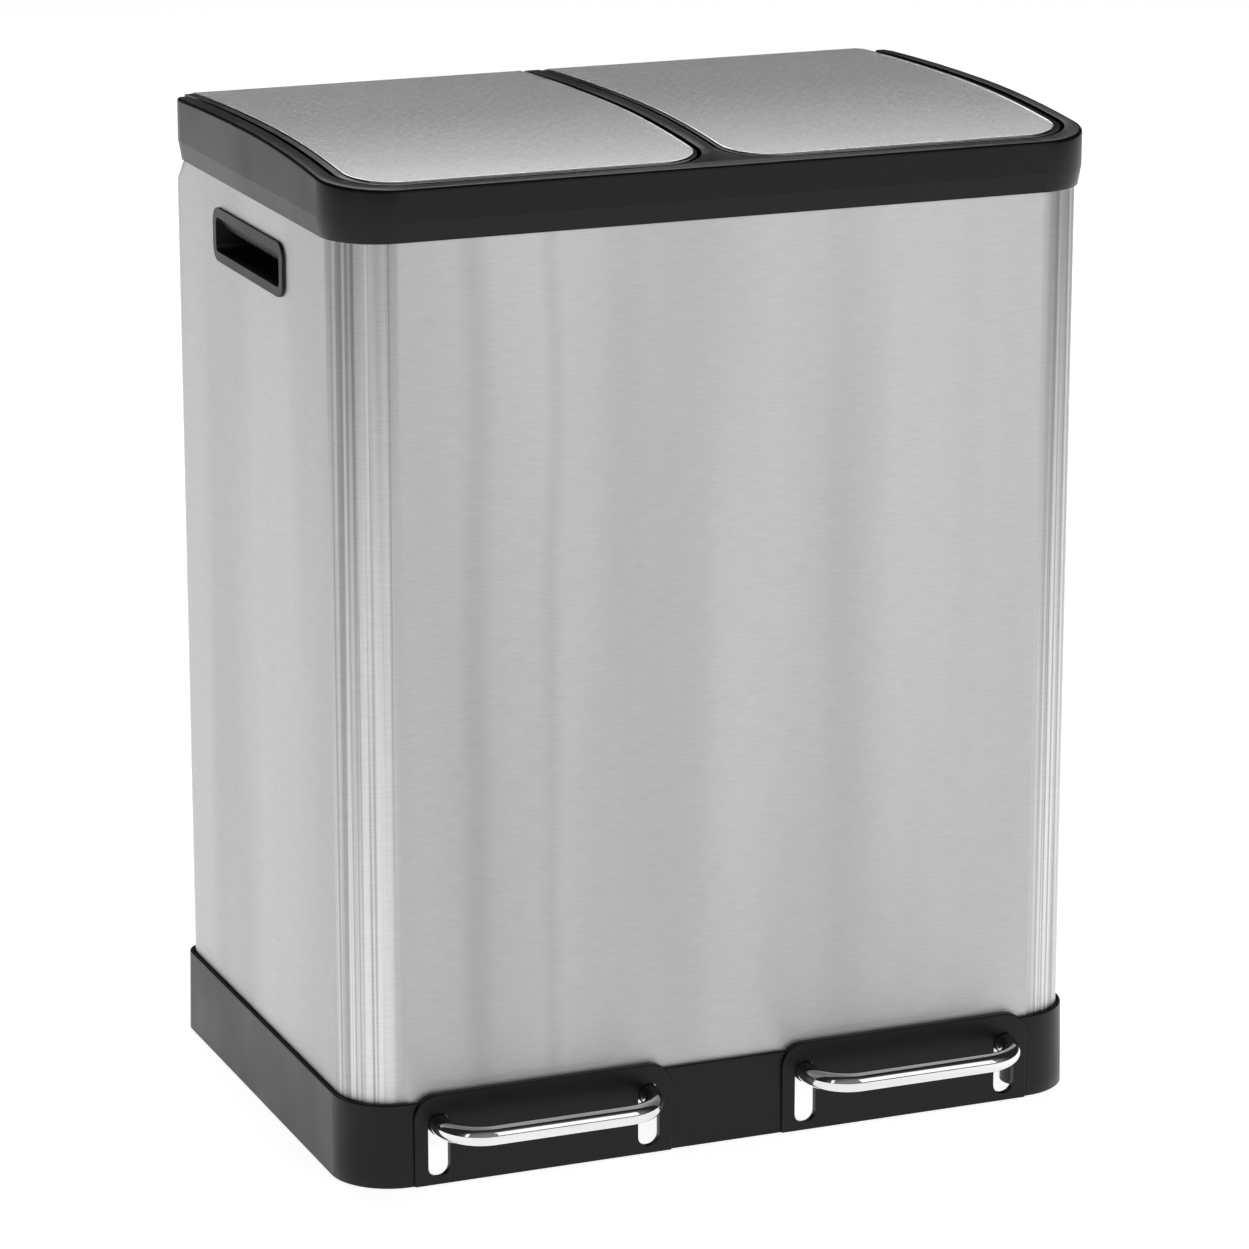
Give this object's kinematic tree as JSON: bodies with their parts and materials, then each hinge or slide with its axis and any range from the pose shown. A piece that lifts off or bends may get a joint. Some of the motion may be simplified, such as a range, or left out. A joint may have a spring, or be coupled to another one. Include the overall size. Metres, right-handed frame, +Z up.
{
  "type": "double recycling bin",
  "caption": "Free-standing brushed steel recycling bin with two inner buckets side by side, each with its own arched lid, chrome foot pedal, lever and push rod.",
  "frame": {"origin": "middle of the part's bounding box on the floor, under the feet; the box runs from the pedals at the front to the top frame at the back", "axes": "+X to the right as seen from the front, +Y from the pedals towards the rear panel, +Z up"},
  "size_m": [0.49, 0.3726, 0.6235],
  "materials": {
    "brushed_wrap": "fine brushed grain round the body, satin",
    "brushed_lid": "fine brushed grain across the lids, satin",
    "plain_steel": "plain pressed sheet, dull",
    "moulded_black": "fine satin moulding",
    "bucket_plastic": "satin moulding",
    "chrome_bar": "polished",
    "zinc_steel": "bright zinc",
    "rivet_metal": "plain",
    "rubber_black": "matt",
    "slide_plastic": "smooth moulding"
  },
  "bodies": {
    "bin": {"body_wrap": "brushed_wrap", "rear_panel": "plain_steel", "left_rod_guide": "plain_steel", "right_rod_guide": "plain_steel", "left_axle_bracket": "plain_steel", "right_axle_bracket": "plain_steel", "base_moulding": "moulded_black", "top_frame": "moulded_black", "left_handle_cup": "moulded_black", "right_handle_cup": "moulded_black", "left_bucket": "bucket_plastic", "right_bucket": "bucket_plastic", "left_axle": "zinc_steel", "right_axle": "zinc_steel", "left_hinge_pins": "zinc_steel", "right_hinge_pins": "zinc_steel", "axle_clips": "zinc_steel", "bracket_screws": "zinc_steel", "panel_rivets": "rivet_metal", "guide_rivets": "rivet_metal", "front_left_foot": "rubber_black", "rear_left_foot": "rubber_black", "front_right_foot": "rubber_black", "rear_right_foot": "rubber_black", "lid_bumpers": "rubber_black", "rod_bushes": "slide_plastic"},
    "left_lid": {"left_lid_tray": "moulded_black", "left_lid_skin": "brushed_lid", "left_lift_arm": "moulded_black"},
    "left_pedal": {"left_pedal_bar": "chrome_bar", "left_cross_plate": "zinc_steel", "left_lever_plates": "zinc_steel", "left_lever_hub": "zinc_steel", "left_lift_pin": "zinc_steel"},
    "left_rod": {"left_push_rod": "zinc_steel", "left_rod_cap": "slide_plastic"},
    "left_bail": {"left_bail": "zinc_steel", "left_bail_grip": "slide_plastic"},
    "right_lid": {"right_lid_tray": "moulded_black", "right_lid_skin": "brushed_lid", "right_lift_arm": "moulded_black"},
    "right_pedal": {"right_pedal_bar": "chrome_bar", "right_cross_plate": "zinc_steel", "right_lever_plates": "zinc_steel", "right_lever_hub": "zinc_steel", "right_lift_pin": "zinc_steel"},
    "right_rod": {"right_push_rod": "zinc_steel", "right_rod_cap": "slide_plastic"},
    "right_bail": {"right_bail": "zinc_steel", "right_bail_grip": "slide_plastic"}
  },
  "joints": [
    {"name": "left_lid_hinge", "type": "hinge", "parent": "bin", "child": "left_lid", "pos_m": [-0.121, 0.17285, 0.60832], "axis": [-1, 0, 0], "range_deg": [0, 75]},
    {"name": "left_pedal_hinge", "type": "hinge", "parent": "bin", "child": "left_pedal", "pos_m": [-0.121, 0.01175, 0.027], "axis": [1, 0, 0], "range_deg": [0, 9.27]},
    {"name": "left_rod_slide", "type": "slide", "parent": "bin", "child": "left_rod", "axis": [0, 0, 1], "range_m": [0, 0.02335]},
    {"name": "left_bail_hinge", "type": "hinge", "parent": "bin", "child": "left_bail", "pos_m": [-0.121, 0.00975, 0.5878], "axis": [-1, 0, 0], "range_deg": [0, 8]},
    {"name": "right_lid_hinge", "type": "hinge", "parent": "bin", "child": "right_lid", "pos_m": [0.121, 0.17285, 0.60832], "axis": [-1, 0, 0], "range_deg": [0, 75]},
    {"name": "right_pedal_hinge", "type": "hinge", "parent": "bin", "child": "right_pedal", "pos_m": [0.121, 0.01175, 0.027], "axis": [1, 0, 0], "range_deg": [0, 9.27]},
    {"name": "right_rod_slide", "type": "slide", "parent": "bin", "child": "right_rod", "axis": [0, 0, 1], "range_m": [0, 0.02335]},
    {"name": "right_bail_hinge", "type": "hinge", "parent": "bin", "child": "right_bail", "pos_m": [0.121, 0.00975, 0.5878], "axis": [-1, 0, 0], "range_deg": [0, 8]}
  ],
  "couplings": [
    {"joint": "left_pedal_hinge", "follows": "left_lid_hinge", "ratio": 0.1235},
    {"joint": "left_rod_slide", "follows": "left_lid_hinge", "m_per_rad": 0.017823},
    {"joint": "right_pedal_hinge", "follows": "right_lid_hinge", "ratio": 0.1235},
    {"joint": "right_rod_slide", "follows": "right_lid_hinge", "m_per_rad": 0.017823}
  ]
}
